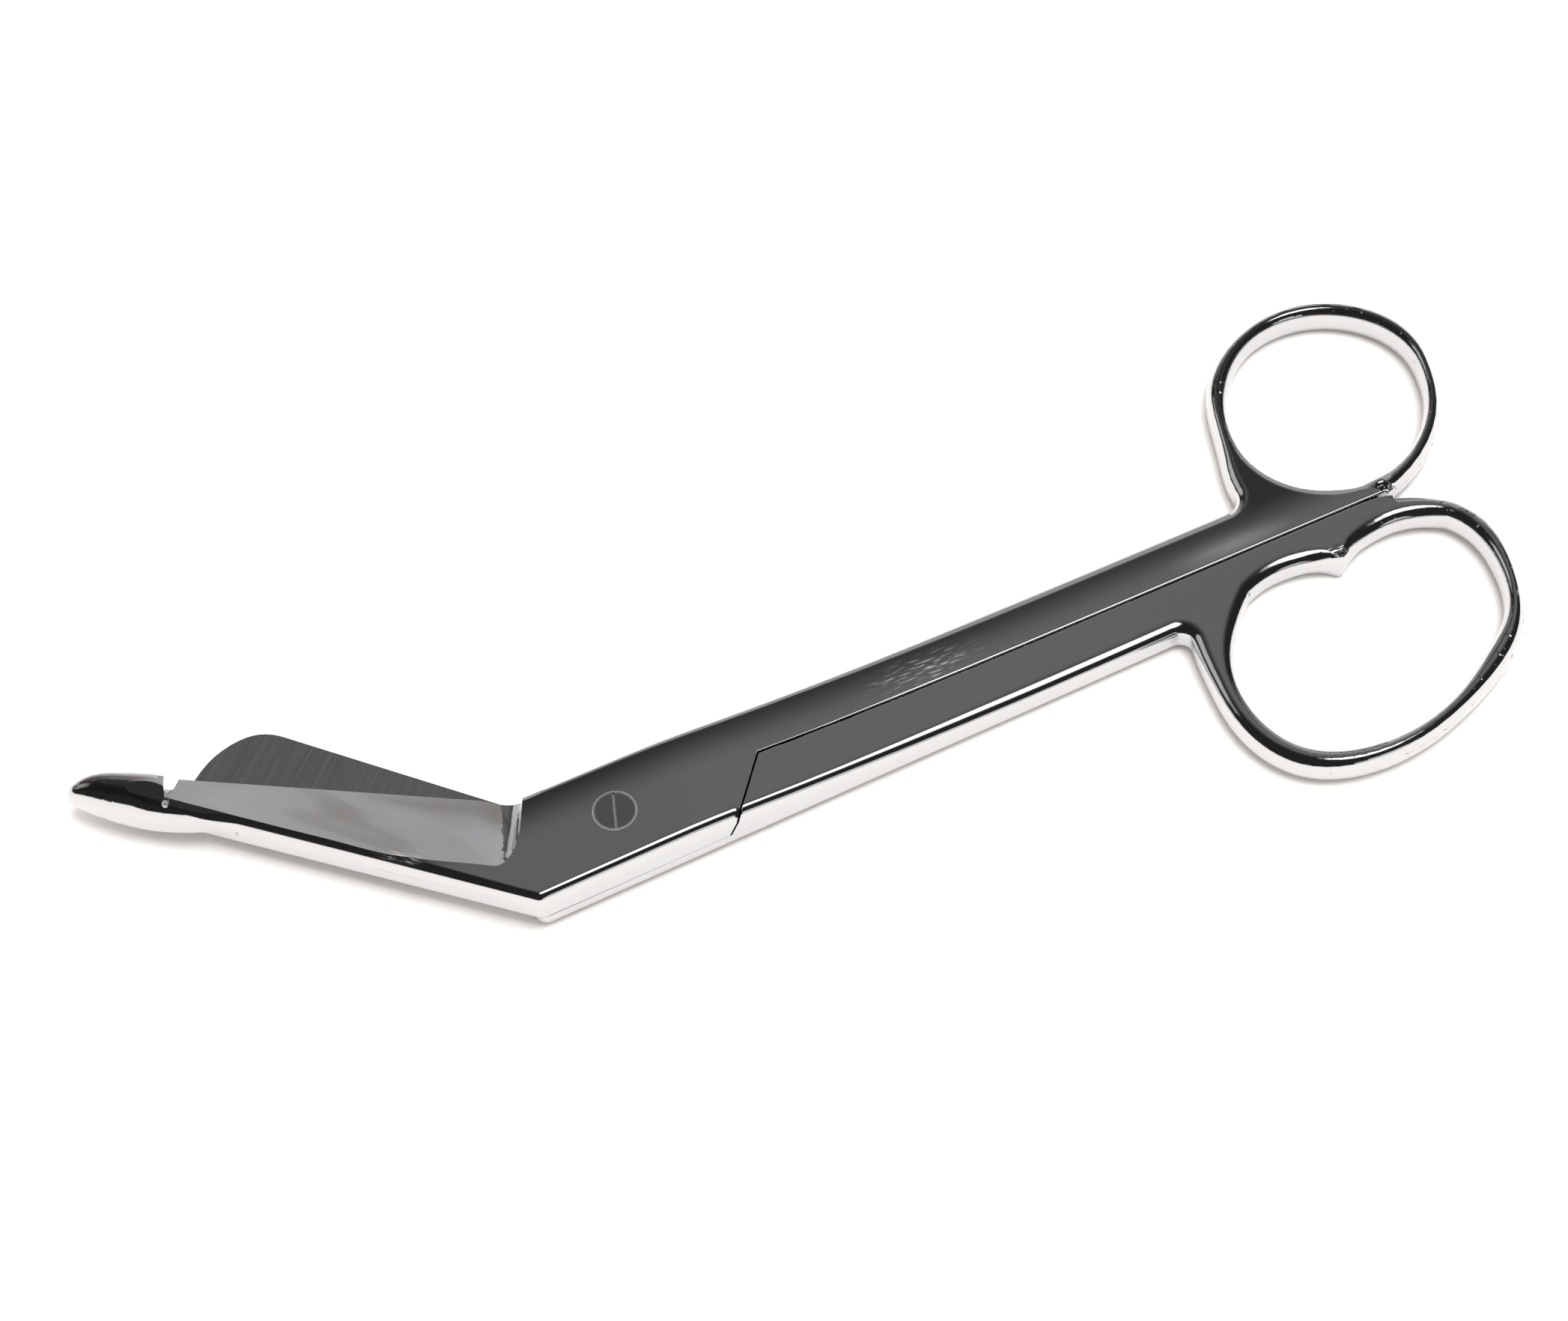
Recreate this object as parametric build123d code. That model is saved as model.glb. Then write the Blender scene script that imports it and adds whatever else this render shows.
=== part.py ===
from build123d import *
import math
import os

# Bandage scissors, closed, lying on a table. Millimetres.
# The origin is on the pivot axis at the table. X runs along the handles to the rings,
# Y to the side of the small ring, and Z up.

# Heights
joint_thickness = 5.6
handle_thickness = 3.6
lap_height = 2.2
lap_gap = 0.05
overrun = 4.0

# The closed handles lie either side of a parting line in plan
handle_run = 83.0
parting_offset = 0.2
parting_gap = 0.15
upper_handle_width = 5.4
upper_handle_end_width = 5.1
lower_handle_width = 5.8
lower_handle_end_width = 4.75
edge_round = 0.6

# The joint thins down into the handles along a smooth curve
taper_start = 3.0
taper_length = 51.0
taper_pull_share = 0.215

# The leaning step where a joint plate meets the other half's handle
step_inner_x = 13.7
step_outer_x = 8.85
step_lean = 1.1
step_gap = 0.25

# Blade with the probe tip, measured along its spine from the heel corner
heel_x = -10.0
heel_round = 1.2
probe_blade_angle = 137.7
probe_blade_root_run = 9.5
probe_blade_root_width = 10.15
probe_blade_tip_width = 4.4

# Blade with the rounded end, measured along its spine from the root corner
root_x = -7.1
round_blade_angle = 134.0
round_blade_length = 31.0
round_blade_end_run = 6.0
round_blade_root_width = 8.4
round_blade_tip_width = 8.2
round_blade_heel_run = 3.5
round_blade_heel_inset = 1.5
round_end_share = 0.72

# Hollow ground outer face of each blade, its shoulder at the joint and the notch before the probe tip
edge_thickness = 0.3
land_root_width = 2.6
land_width = 0.9
land_run = 14.0
wheel_stations = 10
wheel_radius = 45.0
shoulder_run = 1.7
shoulder_angle = 19.0
shoulder_radius = 2.4
notch_run = 36.9
notch_angle = 27.0
notch_spine_radius = 0.25
notch_edge_radius = 1.05

# Probe tip: round sections along the blade, from the swelling spine to the blunt end
probe_runs = (31.0, 34.0, 37.0, 40.0, 43.0, 45.3, 46.5, 47.15)
probe_offsets = (1.75, 1.45, 1.3, 1.25, 0.92, 0.64, 0.3, 0.05)
probe_heights = (1.6, 1.25, 1.0, 0.85, 0.9, 0.95, 0.95, 0.95)
probe_radii = (1.55, 1.95, 2.4, 2.66, 2.34, 1.86, 1.3, 0.7)

# Small ring, on the upper half: points around its outside and its hole, x from the handle's end
small_ring_points = (
    (12.7, 13.0), (11.0, 20.7), (4.3, 24.9), (-3.3, 24.2), (-9.1, 19.8),
    (-11.7, 13.0), (-13.1, 7.5), (-10.5, 1.2), (-3.6, -0.2), (4.1, 1.6), (9.8, 6.1),
)
small_hole_points = (
    (11.2, 12.9), (9.7, 19.4), (4.0, 23.1), (-2.4, 22.6), (-7.2, 18.7),
    (-9.7, 12.9), (-8.3, 6.4), (-2.6, 2.7), (3.8, 3.4), (8.6, 7.2),
)
small_web_radius = 2.0

# Large ring, on the lower half: points around its outside and its hole, x from the handle's end
large_ring_points = (
    (6.6, -12.8), (4.6, -2.6), (-5.0, 0.8), (-13.3, 0.5), (-22.5, -0.5), (-25.3, -6.0),
    (-26.2, -11.0), (-26.3, -17.0), (-23.4, -22.9), (-13.7, -25.9), (-5.7, -24.25), (1.3, -20.9),
)
large_hole_points = (
    (4.9, -12.4), (2.5, -3.6), (-5.9, -1.3), (-13.0, -1.4), (-18.5, -4.5),
    (-22.0, -8.3), (-23.8, -12.6), (-21.7, -21.2), (-13.3, -24.0), (-6.2, -22.5), (-0.2, -19.1),
)
large_web_radius = 1.2

# Finger rest: two shallow scallops over the large hole that meet in a blunt point
rest_setback = 7.8
rest_y = -4.9
rest_rise = 1.9
rest_reach = 12.5
rest_drop = 0.6
rest_round = 0.5

# Pivot screw
screw_head_diameter = 3.9
screw_head_height = 1.3
screw_shank_diameter = 2.6
screw_slot_width = 0.22
screw_slot_depth = 0.3
screw_slot_angle = 71.0
screw_clearance = 0.05

rest_x = handle_run - rest_setback
upper_lap = joint_thickness - lap_height
parting_run = handle_run - heel_x
plate_end_x = step_inner_x + overrun
notch_skew = math.tan(math.radians(notch_angle)) * probe_blade_tip_width


def upper_edge(x):
    """Outer edge of the upper half's handle in plan, straight from the joint to its ring."""
    share = (x - heel_x) / parting_run
    return parting_offset + upper_handle_width + share * (upper_handle_end_width - upper_handle_width)


def lower_edge(x):
    """Outer edge of the lower half's handle in plan, straight from the joint to its ring."""
    share = (x - heel_x) / parting_run
    return parting_offset - lower_handle_width - share * (lower_handle_end_width - lower_handle_width)


heel = Vector(heel_x, lower_edge(heel_x))
root = Vector(root_x, upper_edge(root_x))


def direction(angle):
    """Unit vector in plan."""
    return Vector(math.cos(math.radians(angle)), math.sin(math.radians(angle)))


def blade_frame(corner, angle, outward):
    """Frame on the lap plane: x along the spine, -y to the cutting edge, z to the blade's outer face."""
    origin = (corner.X, corner.Y, lap_height)
    return Plane(origin=origin, x_dir=direction(angle), z_dir=(0, 0, outward))


def plan_face(*points):
    """Face with straight edges, always facing up."""
    return make_face(Polyline(*points, close=True))


def ring_face(points):
    """Face inside a smooth closed curve through points at the handle's end."""
    return make_face(Spline(*[(handle_run + x, y) for x, y in points], periodic=True))


def block(x_low, x_high, y_low, y_high, z_low, z_high):
    """Box between two corners."""
    box = Box(x_high - x_low, y_high - y_low, z_high - z_low, align=(Align.MIN, Align.MIN, Align.MIN))
    return Pos(x_low, y_low, z_low) * box


def side_envelope():
    """Everything under the top face of the scissors, which thins from the joint to the handles."""
    pull = taper_pull_share * taper_length
    far = handle_run * 2
    near = -handle_run
    top = Bezier(
        (taper_start, joint_thickness),
        (taper_start + pull, joint_thickness),
        (taper_start + pull, handle_thickness),
        (taper_start + taper_length, handle_thickness),
    )
    rest = Polyline(
        (taper_start + taper_length, handle_thickness),
        (far, handle_thickness),
        (far, 0),
        (near, 0),
        (near, joint_thickness),
        (taper_start, joint_thickness),
    )
    profile = Plane.XZ * make_face([top, rest])
    return extrude(profile, far, both=True)


def step_zone(outward, gap):
    """Space beyond the leaning step, on the side of the handle that stands full thickness there.

    Outward 1 is the zone above the lap plane, where the lower handle rises.
    Outward -1 is the zone below it, where the upper handle comes down.
    """
    run = (step_inner_x - step_outer_x) / lower_handle_width
    slope = step_lean / upper_lap
    far = handle_run * 2
    start = step_inner_x - run * far + gap
    profile = Plane.XZ * plan_face(
        (start - slope * overrun, -overrun),
        (far, -overrun),
        (far, joint_thickness),
        (start + slope * joint_thickness, joint_thickness),
    )
    solid = Pos(0, -far, 0) * extrude(profile, far * 2, dir=Vector(run, 1, 0).normalized())
    side = -parting_gap / 2 if gap else parting_gap / 2
    solid -= block(-far, far * 2, side, far * 2, -far, far)
    turned = solid if outward > 0 else Rot(180, 0, 0) * solid
    return Pos(0, parting_offset, lap_height) * turned


def handle(edge, ring, hole, web_radius):
    """Plan of one half's handle and ring, on one side of the parting line."""
    ring_x = ring.center().X
    side = 1 if edge(ring_x) > parting_offset else -1
    inner_y = parting_offset + side * parting_gap / 2
    bar = plan_face((0, inner_y), (ring_x, inner_y), (ring_x, edge(ring_x)), (0, edge(0)))
    plan = bar + ring
    reach = ring.bounding_box().size.Y
    plan -= Pos(ring_x, inner_y - side * reach / 2) * Rectangle(reach * 2, reach)
    corners = [v for v in plan.vertices() if abs(v.Y - edge(v.X)) < parting_gap and v.X > ring_x / 2]
    plan = fillet(min(corners, key=lambda v: v.X), web_radius)
    return plan - hole


def joint_plate():
    """Plan of a joint plate: the full width of the closed scissors, from the blade to past the step."""
    return plan_face(
        (heel.X, heel.Y),
        (plate_end_x, lower_edge(plate_end_x)),
        (plate_end_x, upper_edge(plate_end_x)),
        (root.X, root.Y),
    )


def probe_blade_plan(frame):
    """Plan of the long blade, in its own frame."""
    corner = frame.to_local_coords(Vector(root.X, root.Y, lap_height))
    pivot = frame.to_local_coords(Vector(0, 0, lap_height))
    return plan_face(
        (0, 0),
        (notch_run, 0),
        (notch_run + notch_skew, -probe_blade_tip_width),
        (probe_blade_root_run, -probe_blade_root_width),
        (corner.X, corner.Y),
        (pivot.X, pivot.Y),
    )


def round_blade_plan(frame, probe_frame):
    """Plan of the short blade with its rounded end, in its own frame."""
    corner = frame.to_local_coords(Vector(heel.X, heel.Y, lap_height))
    pivot = frame.to_local_coords(Vector(0, 0, lap_height))
    inset = probe_frame.from_local_coords(Vector(round_blade_heel_run, -round_blade_heel_inset, 0))
    inset = frame.to_local_coords(inset)
    end_start = round_blade_length - round_blade_end_run
    mid = Vector(
        end_start + round_end_share * round_blade_end_run,
        -(1 - round_end_share) * round_blade_tip_width,
    )
    end_curve = Spline(
        (end_start, 0),
        (mid.X, mid.Y),
        (round_blade_length, -round_blade_tip_width),
        tangents=[(1, 0), (0, -1)],
    )
    edges = Polyline(
        (round_blade_length, -round_blade_tip_width),
        (inset.X, inset.Y),
        (corner.X, corner.Y),
        (pivot.X, pivot.Y),
        (0, 0),
        (end_start, 0),
    )
    return make_face([end_curve, edges])


def probe_edge(run):
    """Distance from the long blade's spine to its cutting edge."""
    share = (run - probe_blade_root_run) / (notch_run + notch_skew - probe_blade_root_run)
    return probe_blade_root_width + share * (probe_blade_tip_width - probe_blade_root_width)


def round_edge(run):
    """Distance from the short blade's spine to its cutting edge."""
    share = run / round_blade_length
    return round_blade_root_width + share * (round_blade_tip_width - round_blade_root_width)


def wheel_section(run, thickness, land, edge):
    """Section of the grinding wheel's path, which leaves the land by the spine and the edge's thickness."""
    top = Vector(-land, thickness)
    low = Vector(-edge, edge_thickness)
    chord = top - low
    lift = math.sqrt(wheel_radius**2 - (chord.length / 2) ** 2)
    centre = (top + low) / 2 + Vector(-chord.Y, chord.X).normalized() * lift
    at = Plane(origin=(run, 0, 0), x_dir=(0, 1, 0), z_dir=(1, 0, 0))
    return at * Pos(centre.X, centre.Y) * Circle(wheel_radius)


def land_at(run):
    """Width of the flat land by the spine, which is wide at the shoulder and narrows smoothly."""
    share = min(max((run - shoulder_run) / land_run, 0), 1)
    smooth = share * share * (1 + 2 * (1 - share))
    return land_root_width + (land_width - land_root_width) * smooth


def hollow(thickness, end, end_angle, edge_at):
    """The material ground away from a blade's outer face, in the blade's frame."""
    near = shoulder_run - overrun
    far = end + overrun
    runs = [near + (far - near) * index / wheel_stations for index in range(wheel_stations + 1)]
    path = loft([wheel_section(run, thickness, land_at(run), edge_at(run)) for run in runs])
    keep = block(0, far * 2, -far, 0, -overrun, thickness + overrun)
    ground = path & Pos(shoulder_run, 0, 0) * Rot(0, 0, shoulder_angle) * keep
    ground -= Pos(end, 0, 0) * Rot(0, 0, end_angle) * block(0, end, -end, end, -end, end)
    wall = min(ground.faces().filter_by(GeomType.PLANE), key=lambda face: face.normal_at().X)
    return fillet(wall.edges().sort_by(Axis.Z)[0], shoulder_radius)


def probe_bulb():
    """The blunt probe tip and the swelling of the spine that leads to it, in the long blade's frame."""
    sections = [
        Plane(origin=(run, -offset, height), z_dir=(1, 0, 0)) * Circle(radius)
        for run, offset, height, radius in zip(probe_runs, probe_offsets, probe_heights, probe_radii)
    ]
    bulb = loft(sections)
    reach = probe_runs[-1] + overrun
    return bulb - block(0, reach, -reach, reach, upper_lap, reach)


def probe_notch():
    """The groove before the probe tip, which widens from the spine to the cutting edge."""
    start = Vector(notch_run, 0, upper_lap)
    end = Vector(notch_run + notch_skew, -probe_blade_tip_width, edge_thickness)
    along = end - start
    widening = notch_edge_radius - notch_spine_radius
    upright = (Align.CENTER, Align.CENTER, Align.MIN)
    body = Cone(notch_spine_radius, notch_edge_radius + widening, along.length * 2, align=upright)
    return Plane(origin=start, z_dir=along) * body


def pivot_screw(clearance):
    """Screw with its head flush with the joint's top face, or the room for it in a half."""
    head = screw_head_diameter / 2 + clearance
    shank = screw_shank_diameter / 2 + clearance
    low = joint_thickness - screw_head_height
    upright = (Align.CENTER, Align.CENTER, Align.MIN)
    screw = Cylinder(shank, low, align=upright)
    return screw + Pos(0, 0, low) * Cylinder(head, screw_head_height, align=upright)


def slotted(screw):
    """The screw with its slot."""
    slot = Box(screw_head_diameter * 2, screw_slot_width, screw_slot_depth * 2)
    return screw - Pos(0, 0, joint_thickness) * Rot(0, 0, screw_slot_angle) * slot


def finger_rest():
    """The metal over the large hole, with two scallops that meet in a point."""
    left = rest_x - rest_reach
    right = rest_x + rest_reach
    crest = rest_y + rest_rise
    low = rest_y - rest_drop
    scallops = [
        ThreePointArc((left, low), ((left + rest_x) / 2, crest), (rest_x, rest_y)),
        ThreePointArc((rest_x, rest_y), ((right + rest_x) / 2, crest), (right, low)),
        Polyline((right, low), (right, 0), (left, 0), (left, low)),
    ]
    return make_face(scallops)


def rim_edges(body):
    """Edges where a top or bottom face meets an upright, save the parting line and the end of the plate."""
    faces = [f for f in body.faces() if abs(f.normal_at().Z) > abs(f.normal_at().Y) + abs(f.normal_at().X)]
    edges = [e for f in faces for e in f.edges()]
    rims = [e for e in edges if edges.count(e) == 1]
    near = parting_gap
    rims = [e for e in rims if abs(e.center().Y - parting_offset) > near or e.center().X < 0]
    return [e for e in rims if abs(e.center().X - plate_end_x) > near]


def blank(plan, frame, blade):
    """One half at full thickness with its outer edges rounded, before the lap is cut."""
    base = Plane(origin=(frame.origin.X, frame.origin.Y, 0), x_dir=frame.x_dir, z_dir=frame.z_dir)
    outline = plan + joint_plate() + make_face((base * blade).edges())
    corner = [v for v in outline.vertices() if (Vector(v.X, v.Y) - heel).length < heel_round / 2]
    outline = fillet(corner, heel_round)
    body = extrude(outline, joint_thickness, dir=(0, 0, 1)) & side_envelope()
    return fillet(rim_edges(body), edge_round)


def lap(outward):
    """What a half gives up to the other one: the far side of the lap plane and the zone past the step.

    Outward 1 is for the upper half, -1 for the lower one.
    """
    far = handle_run * 2
    depth = joint_thickness + overrun
    slab = Pos(0, 0, lap_height + outward * lap_gap / 2) * Box(
        far * 2, far * 2, depth, align=(Align.CENTER, Align.CENTER, Align.MAX if outward > 0 else Align.MIN)
    )
    slab -= step_zone(-outward, step_gap)
    return slab + step_zone(outward, 0)


small_ring = ring_face(small_ring_points)
small_hole = ring_face(small_hole_points)
large_ring = ring_face(large_ring_points)
large_hole = ring_face(large_hole_points) - finger_rest()
rest_tip = [v for v in large_hole.vertices() if abs(v.X - rest_x) < rest_round]
large_hole = fillet(rest_tip, rest_round)
upper_frame = blade_frame(heel, probe_blade_angle, 1)
lower_frame = blade_frame(root, round_blade_angle, -1)
upper_plan = handle(upper_edge, small_ring, small_hole, small_web_radius)
lower_plan = handle(lower_edge, large_ring, large_hole, large_web_radius)
upper = blank(upper_plan, upper_frame, probe_blade_plan(upper_frame)) - lap(1)
upper += upper_frame * probe_bulb()
upper -= upper_frame * hollow(upper_lap, notch_run, notch_angle, probe_edge)
upper -= upper_frame * probe_notch()
upper -= pivot_screw(screw_clearance)
lower = blank(lower_plan, lower_frame, round_blade_plan(lower_frame, upper_frame)) - lap(-1)
lower -= lower_frame * hollow(lap_height, round_blade_length + overrun, 0, round_edge)
lower -= pivot_screw(0)
screw = slotted(pivot_screw(0))
os.makedirs("parts", exist_ok=True)
export_step(upper, "parts/probe_blade_half.step")
export_step(lower, "parts/round_blade_half.step")
export_step(screw, "parts/pivot_screw.step")
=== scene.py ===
import math

import bpy
import numpy as np
from mathutils import Matrix, Vector
from mathutils.bvhtree import BVHTree


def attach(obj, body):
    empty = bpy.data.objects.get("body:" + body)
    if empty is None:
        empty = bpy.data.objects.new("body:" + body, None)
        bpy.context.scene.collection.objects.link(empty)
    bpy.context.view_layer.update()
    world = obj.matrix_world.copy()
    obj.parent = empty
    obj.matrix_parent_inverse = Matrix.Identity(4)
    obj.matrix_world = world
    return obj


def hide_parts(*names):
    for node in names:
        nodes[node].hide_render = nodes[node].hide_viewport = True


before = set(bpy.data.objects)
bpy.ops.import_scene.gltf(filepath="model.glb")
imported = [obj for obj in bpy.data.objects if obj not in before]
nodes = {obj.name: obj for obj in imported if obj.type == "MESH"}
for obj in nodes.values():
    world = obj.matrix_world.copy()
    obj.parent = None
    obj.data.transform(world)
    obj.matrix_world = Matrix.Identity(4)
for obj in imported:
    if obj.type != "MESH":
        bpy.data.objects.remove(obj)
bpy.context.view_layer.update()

MM = 0.001

# Camera: the photograph's view of the scissors, in their own frame
CAMERA_AT = Vector((-40.04, -142.81, 255.90)) * MM
CAMERA_AIM = Vector((22.40, 11.20, 0.0)) * MM
CAMERA_ROLL = math.radians(4.0)
FOCAL_PIXELS = 4200.0
IMAGE_WIDTH = 2094.0
SENSOR_WIDTH = 36.0

camera = bpy.data.cameras.new("camera")
camera.sensor_width = SENSOR_WIDTH
camera.sensor_fit = "HORIZONTAL"
camera.lens = FOCAL_PIXELS / IMAGE_WIDTH * SENSOR_WIDTH
camera.clip_start = 0.01
camera.clip_end = 20.0
back = (CAMERA_AT - CAMERA_AIM).normalized()
level = Vector((0, 0, 1)).cross(back).normalized()
up = back.cross(level)
right = level * math.cos(CAMERA_ROLL) - up * math.sin(CAMERA_ROLL)
turned_up = level * math.sin(CAMERA_ROLL) + up * math.cos(CAMERA_ROLL)
camera_object = bpy.data.objects.new("camera", camera)
turned = Matrix((right, turned_up, back)).transposed().to_4x4()
camera_object.matrix_world = Matrix.Translation(CAMERA_AT) @ turned
bpy.context.scene.collection.objects.link(camera_object)
bpy.context.scene.camera = camera_object
bpy.context.scene.view_settings.view_transform = "Standard"


# Node helpers
class Tree:
    """Adds nodes to a node tree and links their inputs by name."""

    def __init__(self, tree):
        self.tree = tree
        tree.nodes.clear()

    def add(self, kind, settings=None, **inputs):
        node = self.tree.nodes.new(kind)
        for key, value in (settings or {}).items():
            setattr(node, key, value)
        for key, value in inputs.items():
            self.put(node, key, value)
        return node

    def put(self, node, key, value):
        """Sets or links an input, by its name or, as i0, i1 and so on, by its number."""
        if isinstance(key, str) and key.startswith("i") and key[1:].isdigit():
            socket = node.inputs[int(key[1:])]
        else:
            socket = node.inputs[key.replace("_", " ")]
        if isinstance(value, bpy.types.NodeSocket):
            self.tree.links.new(value, socket)
        else:
            socket.default_value = value

    def math(self, operation, a, b=0.0, clamp=False):
        settings = {"operation": operation, "use_clamp": clamp}
        return self.add("ShaderNodeMath", settings, i0=a, i1=b).outputs[0]

    def dot(self, a, b):
        return self.add("ShaderNodeVectorMath", {"operation": "DOT_PRODUCT"}, i0=a, i1=b).outputs["Value"]

    def step(self, value, low, high, start=0.0, end=1.0):
        """Start up to low, end from high on and a smooth change between."""
        settings = {"interpolation_type": "SMOOTHSTEP"}
        node = self.add("ShaderNodeMapRange", settings, i0=value, i1=low, i2=high, i3=start, i4=end)
        return node.outputs[0]

    def mix(self, share, a, b):
        node = self.add("ShaderNodeMix", {"data_type": "RGBA"})
        self.put(node, "i0", share)
        self.put(node, "i6", a)
        self.put(node, "i7", b)
        return node.outputs[2]

    def ramp(self, value, stops, smooth="LINEAR"):
        node = self.add("ShaderNodeValToRGB", i0=value)
        band = node.color_ramp
        band.interpolation = smooth
        while len(band.elements) < len(stops):
            band.elements.new(0.5)
        for element, (place, colour) in zip(band.elements, stops):
            element.position = place
            element.color = colour if len(colour) == 4 else (*colour, 1)
        return node.outputs[0]

    def noise(self, vector, scale, detail=2.0, roughness=0.5, distortion=0.0):
        node = self.add("ShaderNodeTexNoise", Vector=vector, Scale=scale, Detail=detail)
        node.inputs["Roughness"].default_value = roughness
        node.inputs["Distortion"].default_value = distortion
        return node.outputs["Fac"]

    def stretched(self, vector, turn, scale):
        """The vector turned about Z, then scaled along its axes."""
        node = self.add("ShaderNodeMapping", {"vector_type": "POINT"}, Vector=vector)
        node.inputs["Rotation"].default_value = (0, 0, turn)
        scaled = self.add("ShaderNodeVectorMath", {"operation": "MULTIPLY"}, i0=node.outputs[0], i1=scale)
        return scaled.outputs[0]


# Studio: a dark room that the steel mirrors, with patches of light around it
DARK_ROOM = 0.024
SKY = 0.088
TABLE_LIGHT = (1.0, 0.94, 0.87)
TABLE_LIGHT_STRENGTH = 0.92
# each patch: its direction, the degrees within which it is full and beyond which it is out, and its strength
PATCHES = (
    ((0.6, 0.78, 0.1), 12, 38, 0.42),
    ((0.1, 0.95, 0.05), 5, 30, 0.25),
    ((0.21, -0.34, 0.915), 8, 18, 2.4),
    ((0.25, -0.97, 0.0), 11, 17, 0.8),
    ((-0.6, 0.6, 0.4), 8, 20, 0.6),
)


def studio():
    world = bpy.data.worlds.new("studio")
    bpy.context.scene.world = world
    world.use_nodes = True
    t = Tree(world.node_tree)
    direction = t.add("ShaderNodeTexCoord").outputs["Generated"]

    def lobe(towards, inner, outer, strength):
        """Soft-edged patch of light around a direction, its radii in degrees."""
        near = t.dot(direction, Vector(towards).normalized())
        return t.step(near, math.cos(math.radians(outer)), math.cos(math.radians(inner)), 0.0, strength)

    def sheet(colour, strength):
        node = t.add("ShaderNodeBackground", Strength=strength)
        node.inputs["Color"].default_value = (*colour, 1)
        return node.outputs[0]

    def mixed(share, a, b):
        return t.add("ShaderNodeMixShader", i0=share, i1=a, i2=b).outputs[0]

    clouds = t.noise(direction, 2.2, 2.0, 0.5)
    light = t.math("MULTIPLY", lobe((0.25, 0.5, 0.83), 0, 45, SKY), t.math("ADD", clouds, 0.5))
    light = t.math("ADD", light, DARK_ROOM)
    for towards, inner, outer, strength in PATCHES:
        light = t.math("ADD", light, lobe(towards, inner, outer, strength))

    # the table is lit evenly from all sides, so that the shadows stay close to the steel, and past
    # the table's edge the camera sees white, which the steel doesn't mirror
    path = t.add("ShaderNodeLightPath")
    room = sheet((1, 1, 1), light)
    table = sheet(TABLE_LIGHT, TABLE_LIGHT_STRENGTH)
    white = sheet((1, 1, 1), 1.0)
    seen = mixed(path.outputs["Is Diffuse Ray"], room, table)
    seen = mixed(path.outputs["Is Camera Ray"], seen, white)
    t.add("ShaderNodeOutputWorld", Surface=seen)


def overhead(name, at, size, power):
    """A soft lamp that lights the table and isn't mirrored in the steel."""
    data = bpy.data.lights.new(name, "AREA")
    data.shape = "DISK"
    data.size = size
    data.energy = power
    lamp = bpy.data.objects.new(name, data)
    lamp.location = at
    lamp.rotation_euler = Vector(at).to_track_quat("Z", "Y").to_euler()
    lamp.visible_glossy = False
    bpy.context.scene.collection.objects.link(lamp)


studio()
overhead("overhead", (0.16, -0.08, 0.9), 0.55, 7.2)


# Floor
FLOOR_REACH = 3.0
FLOOR_BELOW = 0.00002
FLOOR_COLOUR = (0.9, 0.9, 0.9, 1)


def floor():
    """A white table, a hair below the scissors."""
    size = FLOOR_REACH
    mesh = bpy.data.meshes.new("floor")
    corners = [(-size, -size, 0), (size, -size, 0), (size, size, 0), (-size, size, 0)]
    mesh.from_pydata(corners, [], [(0, 1, 2, 3)])
    piece = bpy.data.objects.new("floor", mesh)
    piece.location.z = -FLOOR_BELOW
    bpy.context.scene.collection.objects.link(piece)
    material = bpy.data.materials.new("white_table")
    material.use_nodes = True
    t = Tree(material.node_tree)
    surface = t.add("ShaderNodeBsdfPrincipled")
    surface.inputs["Base Color"].default_value = FLOOR_COLOUR
    surface.inputs["Roughness"].default_value = 0.7
    t.add("ShaderNodeOutputMaterial", Surface=surface.outputs[0])
    mesh.materials.append(material)


floor()


# Steel
# Places and sizes inside these materials are millimetres.
STEEL = (0.62, 0.62, 0.63)
SPINE_TURN = math.radians(-137.7)
BRUSH_TURN = math.radians(-134.0)
SLOT_TURN = math.radians(71.0)
LAP = 2.2


def steel(name, colour, rough, line_turn, line_depth, tone=None, scuffs=None):
    """Polished steel with fine grinding lines. Tone scales its colour, and scuffs say where it is dull."""
    material = bpy.data.materials.new(name)
    material.use_nodes = True
    t = Tree(material.node_tree)
    place = t.add("ShaderNodeTexCoord").outputs["Object"]
    lines = t.noise(t.stretched(place, line_turn, (30, 2600, 2600)), 1.0, 3.0)
    cloud = t.noise(place, 90.0, 3.0)
    surface = t.add("ShaderNodeBsdfPrincipled")
    surface.inputs["Base Color"].default_value = (*colour, 1)
    surface.inputs["Metallic"].default_value = 1.0
    if tone:
        t.put(surface, "Base Color", tone(t, place, colour))
    roughness = t.math("ADD", t.math("MULTIPLY", cloud, 0.08), rough)
    if scuffs:
        dull = scuffs(t, place)
        t.put(surface, "Metallic", t.math("SUBTRACT", 1.0, dull, True))
        roughness = t.math("ADD", roughness, t.math("MULTIPLY", dull, 0.5))
    t.put(surface, "Roughness", roughness)
    bump = t.add("ShaderNodeBump", Strength=line_depth, Distance=0.00001, Height=lines)
    t.put(surface, "Normal", bump.outputs[0])
    t.add("ShaderNodeOutputMaterial", Surface=surface.outputs[0])
    return material


def millimetres(t, place):
    """The place's x, y and z in millimetres."""
    scaled = t.add("ShaderNodeVectorMath", {"operation": "SCALE"}, i0=place, Scale=1000.0)
    apart = t.add("ShaderNodeSeparateXYZ", i0=scaled.outputs[0])
    return apart.outputs[0], apart.outputs[1], apart.outputs[2]


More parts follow.
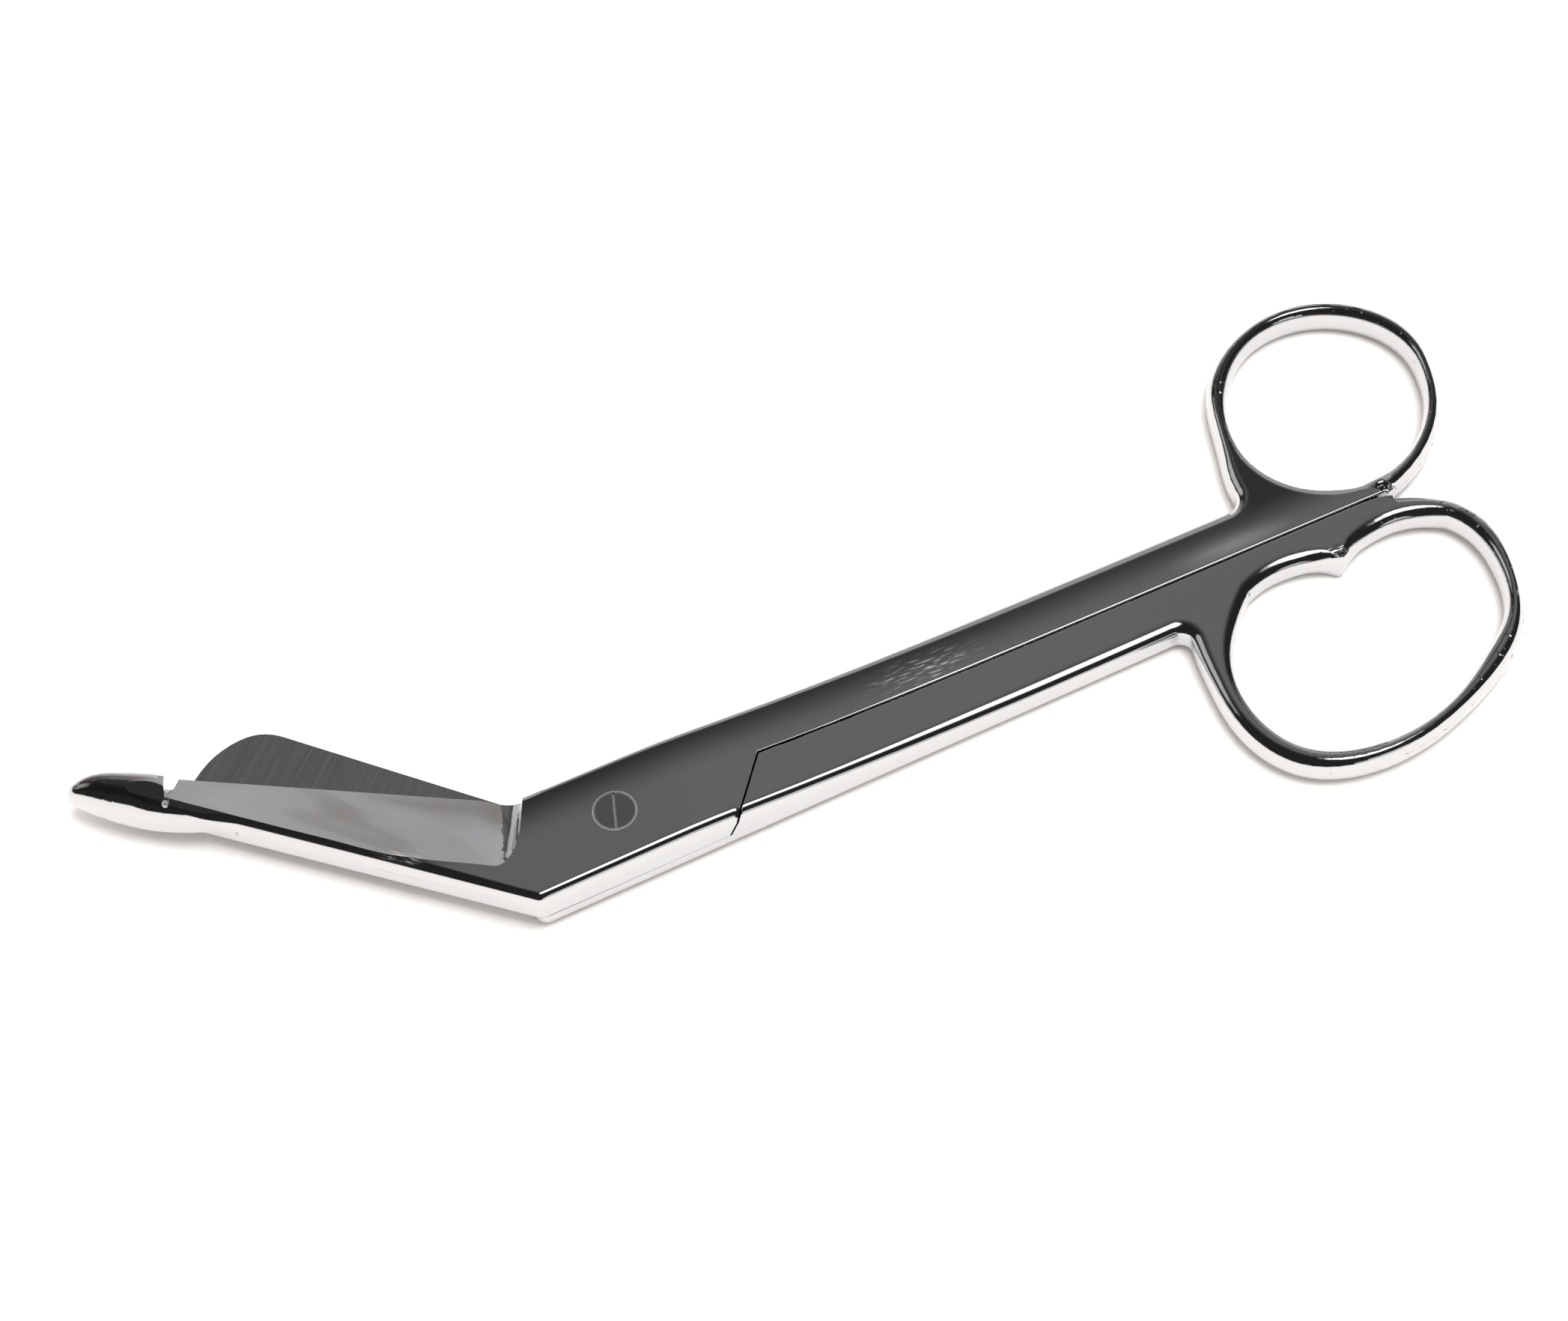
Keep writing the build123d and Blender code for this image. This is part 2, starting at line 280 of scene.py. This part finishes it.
def spot(t, place, at, reach, soft=1.0):
    """Soft-edged patch around a place, all in millimetres."""
    x, y, _ = millimetres(t, place)
    dx = t.math("DIVIDE", t.math("SUBTRACT", x, at[0]), reach[0])
    dy = t.math("DIVIDE", t.math("SUBTRACT", y, at[1]), reach[1])
    far = t.math("SQRT", t.math("ADD", t.math("MULTIPLY", dx, dx), t.math("MULTIPLY", dy, dy)))
    return t.step(far, 1 - soft, 1.0, 1.0, 0.0)


def steel_tone(t, place, colour):
    """Lighter and darker steel: the hand finish, and shade that is painted to match the photograph."""
    x, y, z = millimetres(t, place)
    normal = t.add("ShaderNodeSeparateXYZ", i0=t.add("ShaderNodeTexCoord").outputs["Normal"])
    away, facing = normal.outputs[1], normal.outputs[2]
    level = t.step(facing, 0.96, 0.995)
    above = t.math("GREATER_THAN", z, 2.6)
    # painted sheen and shade: level tops are lighter up to the lap, and the upper handle's top darkens
    # towards its outer edge
    side = t.step(y, 0.4, 5.0, 1.6, 0.38)
    side = t.mix(t.math("MULTIPLY", level, above), (1, 1, 1, 1), side)
    # the ground face of the long blade is cloudy
    ground = t.math("MULTIPLY", t.step(facing, 0.8, 0.84), t.step(facing, 0.985, 0.97))
    ground = t.math("MULTIPLY", ground, t.math("LESS_THAN", x, -9.0))
    cloud = t.noise(t.stretched(place, SPINE_TURN, (60, 160, 100)), 1.0, 2.0, 0.5, 0.6)
    stops = [(0.3, (0.62, 0.58, 0.54)), (0.5, (0.9, 0.89, 0.88)), (0.7, (1.02, 1.02, 1.04))]
    cloud = t.ramp(cloud, stops, "EASE")
    ground = t.mix(ground, (1, 1, 1, 1), cloud)
    # the short blade's inner face is brushed across, and its colour is raised overall as a painted sheen
    inner = t.math("MULTIPLY", t.math("LESS_THAN", z, 2.4), level)
    inner = t.math("MULTIPLY", inner, t.math("LESS_THAN", x, -8.0))
    brush_lines_and_sheen = t.noise(t.stretched(place, BRUSH_TURN, (3200, 90, 100)), 1.0, 3.0, 0.6)
    brush_lines_and_sheen = t.ramp(brush_lines_and_sheen, [(0.3, (1.2, 1.2, 1.22)), (0.7, (1.62, 1.62, 1.66))])
    inner = t.mix(inner, (1, 1, 1, 1), brush_lines_and_sheen)
    # painted shade: the rims on the far side are darker, and a fine line of painted shade follows the lap
    # around the joint
    rim = t.math("MULTIPLY", t.step(away, 0.3, 0.5), t.step(facing, 0.4, 0.55))
    rim = t.math("MULTIPLY", rim, t.math("LESS_THAN", x, 68.0))
    rim = t.mix(rim, (1, 1, 1, 1), (0.4, 0.4, 0.42, 1))
    # painted shade where the halves meet at the lap, darkest by the heel
    off = t.math("ABSOLUTE", t.math("SUBTRACT", z, LAP))
    upright = t.math("LESS_THAN", t.math("ABSOLUTE", facing), 0.3)
    lap_shade_line = t.math("MULTIPLY", t.step(off, 0.05, 0.13, 1.0, 0.0), upright)
    lap_shade_line = t.math("MULTIPLY", lap_shade_line, t.step(x, -11.0, 6.0, 0.75, 0.15))
    lap_shade_line = t.math("MULTIPLY", lap_shade_line, t.math("LESS_THAN", x, 12.0))
    lap_shade_line = t.mix(lap_shade_line, (1, 1, 1, 1), (0.3, 0.28, 0.26, 1))
    out = (*colour, 1)
    for share in (side, ground, inner, rim, lap_shade_line):
        node = t.add("ShaderNodeMix", {"data_type": "RGBA", "blend_type": "MULTIPLY"})
        node.inputs[0].default_value = 1.0
        t.put(node, "i6", out)
        t.put(node, "i7", share)
        out = node.outputs[2]
    return out


def streaks(t, place, turn, low, high):
    """Fine broken scratches along a direction."""
    fine = t.noise(t.stretched(place, turn, (700, 5200, 5200)), 1.0, 2.0)
    return t.step(fine, low, high)


def steel_scuffs(t, place):
    """Scratches on the handle and the blade's land, the burr around the screw and worn ring edges."""
    x, y, _ = millimetres(t, place)
    normal = t.add("ShaderNodeSeparateXYZ", i0=t.add("ShaderNodeTexCoord").outputs["Normal"])
    facing = normal.outputs[2]
    level = t.step(facing, 0.9, 0.98)
    handle = streaks(t, place, 0.0, 0.5, 0.72)
    handle = t.math("MULTIPLY", handle, spot(t, place, (33.0, 2.2), (8.0, 2.2)))
    land = streaks(t, place, SPINE_TURN, 0.48, 0.66)
    land = t.math("MULTIPLY", land, spot(t, place, (-21.5, 4.1), (5.5, 2.2)))
    land = t.math("MULTIPLY", land, t.step(facing, 0.55, 0.9))
    haze = t.noise(t.stretched(place, 0.0, (90, 700, 700)), 1.0, 3.0)
    haze = t.math("MULTIPLY", haze, spot(t, place, (66.0, 1.6), (9.0, 1.7)))
    radius = t.math("SQRT", t.math("ADD", t.math("MULTIPLY", x, x), t.math("MULTIPLY", y, y)))
    burr = t.math("MULTIPLY", t.step(radius, 1.97, 2.0), t.step(radius, 2.12, 2.06))
    grains = t.noise(place, 2400.0, 1.0)
    nicks = t.math("MULTIPLY", t.step(grains, 0.69, 0.75), t.math("GREATER_THAN", x, 74.0))
    leaning = t.math("MULTIPLY", t.step(facing, 0.4, 0.7), t.step(facing, 0.97, 0.9))
    nicks = t.math("MULTIPLY", nicks, leaning)
    out = 0.0
    for value, share in ((handle, 0.35), (haze, 0.14), (burr, 0.2)):
        out = t.math("ADD", out, t.math("MULTIPLY", t.math("MULTIPLY", value, level), share))
    out = t.math("ADD", out, t.math("MULTIPLY", land, 0.6))
    return t.math("ADD", out, t.math("MULTIPLY", nicks, 0.3), True)


def screw_scuffs(t, place):
    """The bright slot and edge of the screw's head."""
    x, y, _ = millimetres(t, place)
    off = t.math("MULTIPLY", x, math.sin(SLOT_TURN))
    off = t.math("SUBTRACT", off, t.math("MULTIPLY", y, math.cos(SLOT_TURN)))
    slot = t.step(t.math("ABSOLUTE", off), 0.09, 0.15, 1.0, 0.0)
    radius = t.math("SQRT", t.math("ADD", t.math("MULTIPLY", x, x), t.math("MULTIPLY", y, y)))
    edge = t.step(radius, 1.84, 1.9)
    return t.math("MULTIPLY", t.math("MAXIMUM", slot, t.math("MULTIPLY", edge, 0.8)), 0.22)


# Halves with the hand-polished, oval edges of the real ones
# All sizes in this section are millimetres.
# The long blade's spine starts at the heel corner. A run is a distance along it from there.
HEEL = np.array((-10.0, -5.6))
SPINE_ANGLE = math.radians(137.7)
SPINE = np.array((math.cos(SPINE_ANGLE), math.sin(SPINE_ANGLE)))
ACROSS = np.array((-SPINE[1], SPINE[0]))
SPINE_END = 37.0
BLADE_X = -6.9
RINGS_X = 55.0
PARTING_Y = 0.2
JOINT_TOP = 5.6
HANDLE_TOP = 3.6
TAPER_START = 3.0
TAPER_LENGTH = 51.0
TAPER_PULL = 11.0
# the rounding that the halves come with, and how wide and deep the worn one is at the places x
CAD_ROUND = 0.6
EDGE_AT = (-22.0, -11.0, 20.0, 42.0)
EDGE_WIDTHS = (1.3, 0.95, 1.1, 1.5)
EDGE_DEPTHS = (2.2, 1.55, 1.5, 1.2)
RING_WIDTH = 1.3
RING_DEPTH = 1.75
SEAM_WIDTH = 0.34
SEAM_DEPTH = 0.24
# below 1, so that the oval doesn't end in an upright tangent
SHARP = 0.97
# rims reach this far in, and are searched this far
ZONE = 1.9
REACH = 6.0
# the longest edges across a rim, along it and by the probe tip
GRAIN = 0.2
LONGEST = 1.2
TIP_GRAIN = 0.45
TIP_RUN = 27.0
NEAR = 0.03


def top_at(x):
    """Height of the flat top: 5.6 at the joint, down a smooth curve to 3.6 at the handles."""
    s = np.linspace(0, 1, 400)
    second, third, last = 3 * (1 - s) ** 2 * s, 3 * (1 - s) * s**2, s**3
    across = second * TAPER_PULL + third * TAPER_PULL + last * TAPER_LENGTH + TAPER_START
    height = JOINT_TOP * ((1 - s) ** 3 + second) + HANDLE_TOP * (third + last)
    return np.interp(x, across, height)


def middle_at(x):
    """Height where the roundings from above and below meet: the lap, and half way at the handles."""
    return np.interp(x, (12.0, 30.0), (LAP, HANDLE_TOP / 2))


def drop(distance, width, depth):
    """How far an elliptical edge lies under the flat face, that far in from the wall."""
    u = np.clip(1 - distance / width, 0, 1)
    return depth * (1 - np.sqrt(1 - SHARP * u * u))


def slope(distance, width, depth):
    """How steep the elliptical edge is, that far in from the wall."""
    u = np.clip(1 - distance / width, 0, 1)
    return depth / width * SHARP * u / np.sqrt(1 - SHARP * u * u)


def fence(segments):
    """Search tree of the segments, as upright faces."""
    low = np.column_stack([segments[:, 0:2], np.full(len(segments), -1.0)])
    low_end = np.column_stack([segments[:, 2:4], np.full(len(segments), -1.0)])
    corners = np.stack([low, low_end, low_end + (0, 0, 2), low + (0, 0, 2)], 1).reshape(-1, 3)
    return BVHTree.FromPolygons(corners.tolist(), np.arange(len(corners)).reshape(-1, 4).tolist())


def nearest(points, segments):
    """Distance from each point to the segments, and the direction outwards, away from the metal."""
    distance = np.full(len(points), 1e3)
    out = np.zeros((len(points), 2))
    if not len(segments):
        return distance, out
    tree = fence(segments)
    normals = segments[:, 4:6].tolist()
    for row, (x, y) in enumerate(points.tolist()):
        place, _, face, far = tree.find_nearest((x, y, 0.0), REACH)
        if place is None:
            continue
        nx, ny = normals[face]
        dx, dy = place.x - x, place.y - y
        distance[row] = far if far > NEAR else 0
        on_wall = far < NEAR + 0.01 or dx * nx + dy * ny < 0
        out[row] = (nx, ny) if on_wall else (dx / far, dy / far)
    return distance, out


def arrays(mesh):
    """Vertices in millimetres, triangles, and the normal at each triangle's corners."""
    co = np.zeros(len(mesh.vertices) * 3)
    mesh.vertices.foreach_get("co", co)
    tri = np.zeros(len(mesh.loops), np.int32)
    mesh.loops.foreach_get("vertex_index", tri)
    normals = np.zeros(len(mesh.loops) * 3, np.float32)
    mesh.corner_normals.foreach_get("vector", normals)
    return co.reshape(-1, 3) * 1000, tri.reshape(-1, 3), normals.reshape(-1, 3, 3).astype(float)


def walls(co, tri, ring, upper):
    """Upright faces as segments in plan: the outer edge, the ring's hole and the parting line."""
    at = co[tri]
    n = np.cross(at[:, 1] - at[:, 0], at[:, 2] - at[:, 0])
    n /= np.maximum(np.linalg.norm(n, axis=1), 1e-12)[:, None]
    upright = np.abs(n[:, 2]) < 0.02
    at, n = at[upright][:, :, :2], n[upright][:, :2]
    ends = []
    for i, j in ((0, 1), (1, 2), (2, 0)):
        ends.append(np.hstack([at[:, i], at[:, j], n]))
    ends = np.array(ends)
    lengths = np.linalg.norm(ends[:, :, 2:4] - ends[:, :, 0:2], axis=2)
    segments = ends[lengths.argmax(0), np.arange(len(at))]
    segments = segments[lengths.max(0) > 1e-3]
    segments = np.unique(np.round(segments, 4), axis=0)
    mid = (segments[:, 0:2] + segments[:, 2:4]) / 2
    n = segments[:, 4:6]
    x, y = mid.T
    off_seam = np.abs(y - PARTING_Y)
    seam = (off_seam < 0.2) & (np.abs(n[:, 1]) > 0.9) & (x > 9)
    # the hole's walls are the ones that can be seen from its middle
    tree = fence(segments)
    hole = np.zeros(len(mid), bool)
    for row in np.flatnonzero((x > RINGS_X) & (off_seam > 0.6)):
        way = mid[row] - ring
        far = float(np.hypot(*way))
        seen = tree.ray_cast((*ring, 0.0), (*(way / far), 0.0))[3]
        hole[row] = seen is not None and seen > far - 0.4 and n[row] @ way < 0
    # and the ones that continue them
    keys = [[tuple(p) for p in np.round(row[:4].reshape(2, 2), 2).tolist()] for row in segments]
    found = {end for row in np.flatnonzero(hole) for end in keys[row]}
    waiting = list(np.flatnonzero((x > RINGS_X) & ~hole & (off_seam > 0.6)))
    for _ in range(40):
        joined = [row for row in waiting if keys[row][0] in found or keys[row][1] in found]
        if not joined:
            break
        hole[joined] = True
        found.update(end for row in joined for end in keys[row])
        waiting = [row for row in waiting if not hole[row]]
    off_heel = np.linalg.norm(mid - HEEL, axis=1)
    run = (mid - HEEL) @ SPINE
    off = np.abs((mid - HEEL) @ ACROSS)
    spine = (x < -7) & ((off < 0.4) & (run < SPINE_END) & upper | (off_heel < 3))
    off_screw = np.linalg.norm(mid, axis=1)
    outer = ~seam & ~hole & (off_seam > 0.6) & (off_screw > 3) & (x > BLADE_X) | spine
    return segments[outer], segments[hole], segments[seam]


def finer(co, tri, normals, rims):
    """Splits the triangles close to the rims until they can follow the worn edges."""
    distance = nearest(co[:, :2], rims)[0]
    for _ in range(12):
        pairs = np.sort(np.stack([tri, np.roll(tri, -1, 1)], 2), 2).reshape(-1, 2)
        edges, which = np.unique(pairs, axis=0, return_inverse=True)
        which = which.reshape(-1, 3)
        length = np.linalg.norm(co[edges[:, 0]] - co[edges[:, 1]], axis=1)
        ends = distance[edges]
        # rims are only on the top and on the underside, and all around by the probe tip
        above = co[:, 2] > top_at(co[:, 0]) - CAD_ROUND - NEAR
        below = co[:, 2] < CAD_ROUND + NEAR
        level = above[edges].all(1) | below[edges].all(1)
        tip = ((co[:, :2] - HEEL) @ SPINE > TIP_RUN)[edges].any(1)
        coarse = (length > LONGEST) | (np.abs(ends[:, 0] - ends[:, 1]) > GRAIN)
        cut = (level & coarse | tip & (length > TIP_GRAIN)) & (ends.min(1) < ZONE)
        if not cut.any():
            break
        number = np.cumsum(cut) - 1 + len(co)
        middle = co[edges[cut]].mean(1)
        co = np.vstack([co, middle])
        distance = np.concatenate([distance, nearest(middle[:, :2], rims)[0]])
        marks = cut[which]
        count = marks.sum(1)
        # turn each triangle so that its cut edges come first
        turn = np.zeros(len(tri), int)
        turn[count == 1] = marks[count == 1].argmax(1)
        turn[count == 2] = ((~marks[count == 2]).argmax(1) + 1) % 3
        order = (np.arange(3)[None] + turn[:, None]) % 3
        rows = np.arange(len(tri))[:, None]
        tri, normals, which = tri[rows, order], normals[rows, order], which[rows, order]
        halves = (normals + np.roll(normals, -1, 1)) / 2
        mids = number[which]
        a, b, c = tri.T
        m, n, o = mids.T
        na, nb, nc = normals[:, 0], normals[:, 1], normals[:, 2]
        nm, nn, no = halves[:, 0], halves[:, 1], halves[:, 2]
        parts = {
            0: [((a, na), (b, nb), (c, nc))],
            1: [((a, na), (m, nm), (c, nc)), ((m, nm), (b, nb), (c, nc))],
            2: [((a, na), (m, nm), (n, nn)), ((a, na), (n, nn), (c, nc)), ((m, nm), (b, nb), (n, nn))],
            3: [
                ((a, na), (m, nm), (o, no)),
                ((m, nm), (b, nb), (n, nn)),
                ((o, no), (n, nn), (c, nc)),
                ((m, nm), (n, nn), (o, no)),
            ],
        }
        new_tri, new_normals = [], []
        for cuts, pieces in parts.items():
            chosen = count == cuts
            for piece in pieces:
                new_tri.append(np.stack([v[chosen] for v, _ in piece], 1))
                new_normals.append(np.stack([w[chosen] for _, w in piece], 1))
        tri, normals = np.vstack(new_tri), np.vstack(new_normals)
    return co, tri, normals


def unit(v):
    return v / np.maximum(np.linalg.norm(v, axis=-1, keepdims=True), 1e-9)


def polished(node, ring, upper):
    """A copy of the half whose square-shouldered rims are worn to ovals."""
    co, tri, normals = arrays(nodes[node].data)
    outer, hole, seam = walls(co, tri, np.array(ring), upper)
    co, tri, normals = finer(co, tri, normals, np.vstack([outer, hole, seam]))
    normals = unit(normals)

    flat = co[:, :2]
    d_outer, out_outer = nearest(flat, outer)
    d_hole, out_hole = nearest(flat, hole)
    d_seam, out_seam = nearest(flat, seam)
    d = np.minimum(d_outer, d_hole)
    out = np.where((d_outer < d_hole)[:, None], out_outer, out_hole)
    half = (d_outer + d_hole) / 2
    share = np.clip((half - 1.2) / 1.2, 0, 1)
    x, z = co[:, 0], co[:, 2]
    edge_width = np.interp(x, EDGE_AT, EDGE_WIDTHS)
    edge_depth = np.interp(x, EDGE_AT, EDGE_DEPTHS)
    width = np.minimum(RING_WIDTH + (edge_width - RING_WIDTH) * share, half * 0.97)
    depth = RING_DEPTH + (edge_depth - RING_DEPTH) * share
    top, middle = top_at(x), middle_at(x)
    depth = np.minimum(depth, np.minimum(top - middle, 5.0) * 0.97)
    low_depth = np.minimum(depth, middle * 0.93)
    by_seam = d_seam < d
    rim = ~by_seam
    seam_share = np.interp(x, (18.0, 30.0), (0.4, 1.0)) if upper else np.full(len(x), 0.4)
    seam_width = SEAM_WIDTH * seam_share
    seam_depth = SEAM_DEPTH * seam_share
    old = np.where((d < CAD_ROUND) & rim, drop(d, CAD_ROUND, CAD_ROUND), 0)
    new = np.where(rim, drop(d, width, depth), 0) + drop(d_seam, seam_width, seam_depth)
    # the long blade's rim runs out before the probe tip
    run = (flat - HEEL) @ SPINE
    kept = np.clip((33.5 - run) / 3.5, 0, 1)[:, None] if upper else np.ones((len(x), 1))
    new = old + (new - old) * kept[:, 0]
    rise = (top - new - middle) / np.maximum(top - old - middle, 0.1)
    low_new = np.where(rim, drop(d, width, low_depth), 0)
    fall = (middle - low_new) / np.maximum(middle - old, 0.1)
    fall = np.where((x < -9) & upper, 1, fall)
    near = np.minimum(d, d_seam) < ZONE
    blade = (x < BLADE_X) & upper
    on_top = np.where(blade, np.abs(z - (top - old)) < 0.06, z > top - CAD_ROUND - NEAR)
    on_top = on_top & (z > middle) & near
    on_low = np.where(blade, np.abs(z - old) < 0.06, z < CAD_ROUND + NEAR)
    on_low = on_low & (z < middle) & near
    moved = np.where(z > middle, middle + (z - middle) * rise, middle - (middle - z) * fall)
    co = co.copy()
    co[:, 2] = np.where(near, moved, z)

    step = 0.05
    grade = (top_at(x + step) - top_at(x - step)) / (2 * step)
    s_old = np.where(rim & (d < CAD_ROUND), slope(d, CAD_ROUND, CAD_ROUND), 0)[:, None]
    s_top = np.where(rim, slope(d, width, depth), 0)[:, None]
    s_top = s_old + (s_top - s_old) * kept
    s_low = np.where(rim, slope(d, width, low_depth), 0)[:, None]
    s_seam = slope(d_seam, seam_width, seam_depth)[:, None]
    n_top = np.column_stack([out * s_top + out_seam * s_seam, np.ones(len(co))])
    n_top[:, 0] -= grade
    n_top = unit(n_top)
    n_low = unit(np.column_stack([out * s_low, -np.ones(len(co))]))
    facing = normals[:, :, 2].mean(1)
    top_faces = on_top[tri].all(1) & (facing > 0.05)
    low_faces = on_low[tri].all(1) & (facing < -0.05)
    normals[top_faces] = n_top[tri[top_faces]]
    normals[low_faces] = n_low[tri[low_faces]]

    if upper:
        normals = calm_hollow(co, tri, normals)
        normals = calm_tip(co, tri, normals)

    mesh = bpy.data.meshes.new(node + "_polished")
    mesh.from_pydata((co / 1000).tolist(), [], tri.tolist())
    mesh.normals_split_custom_set(normals.reshape(-1, 3).tolist())
    piece = bpy.data.objects.new(node + "_polished", mesh)
    bpy.context.scene.collection.objects.link(piece)
    return piece


def calm_hollow(co, tri, normals):
    """Evens out the shading of the long blade's ground face, as hand polishing does."""
    mid = co[tri].mean(1)
    run = (mid[:, :2] - HEEL) @ SPINE
    off = -((mid[:, :2] - HEEL) @ ACROSS)
    n = normals.mean(1)
    lean = -(n[:, :2] @ ACROSS)
    ground = (run > 3.5) & (run < 39) & (off > 0.5) & (lean > 0.25) & (n[:, 2] > 0.5) & (mid[:, 2] > 2.25)
    tilt = math.radians(24.0)
    even = np.array((-ACROSS[0] * math.sin(tilt), -ACROSS[1] * math.sin(tilt), math.cos(tilt)))
    normals[ground] = unit(normals[ground] * 0.3 + even * 0.7)
    return normals


def calm_tip(co, tri, normals):
    """Squares the probe tip's shading a little and leads the spine's rim smoothly into it."""
    at = co[tri]
    run = (at[:, :, :2] - HEEL) @ SPINE
    off = -((at[:, :, :2] - HEEL) @ ACROSS)
    across, along, rise = normals[:, :, :2] @ ACROSS, normals[:, :, :2] @ SPINE, normals[:, :, 2]
    size = np.hypot(across, rise)
    lean = np.degrees(np.arctan2(across, rise))
    near = (lean > 0) & (lean < 90)
    squared = np.where(near, 90 * (1 - np.clip(1 - lean / 90, 0, 1) ** 1.72), lean)
    ease = np.clip((run - 34.5) / 3, 0, 1)
    new = lean + (squared - lean) * ease * ease * (3 - 2 * ease)
    by_height = np.interp(at[:, :, 2], (3.4, 4.3, 4.9, 5.3, 5.55), (92, 80, 60, 38, 8))
    blend = np.clip((run - 29) / 3, 0, 1) * np.clip((41 - run) / 3, 0, 1)
    blend = blend * blend * (3 - 2 * blend)
    by_spine = off < np.interp(run, (31, 37, 40), (0.9, 1.4, 1.6))
    side = (lean > 6) & (lean < 150) & by_spine & (np.abs(along) < 0.5)
    new = np.where(side, new + (by_height - new) * blend, new)
    turned = np.radians(new)
    out = normals.copy()
    plane = np.sin(turned) * size
    out[:, :, 0] = ACROSS[0] * plane + SPINE[0] * along
    out[:, :, 1] = ACROSS[1] * plane + SPINE[1] * along
    out[:, :, 2] = np.cos(turned) * size
    chosen = (run > 28) & (np.abs(new - lean) > 0.01)
    return np.where(chosen[:, :, None], unit(out), normals)


def dress(piece, material):
    """Puts the material on every slot of the piece."""
    if not piece.material_slots:
        piece.data.materials.append(material)
    for slot in piece.material_slots:
        slot.material = material


half_steel = steel("polished_steel", STEEL, 0.05, 0.0, 0.12, steel_tone, steel_scuffs)
screw_steel = steel("screw_steel", STEEL, 0.06, math.radians(40), 0.1, None, screw_scuffs)
for node, ring, body in (
    ("probe_blade_half", (83.5, 13.0), "probe_half"),
    ("round_blade_half", (73.5, -12.5), "round_half"),
):
    piece = polished(node, ring, node == "probe_blade_half")
    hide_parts(node)
    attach(piece, body)
    dress(piece, half_steel)
dress(nodes["pivot_screw"], screw_steel)
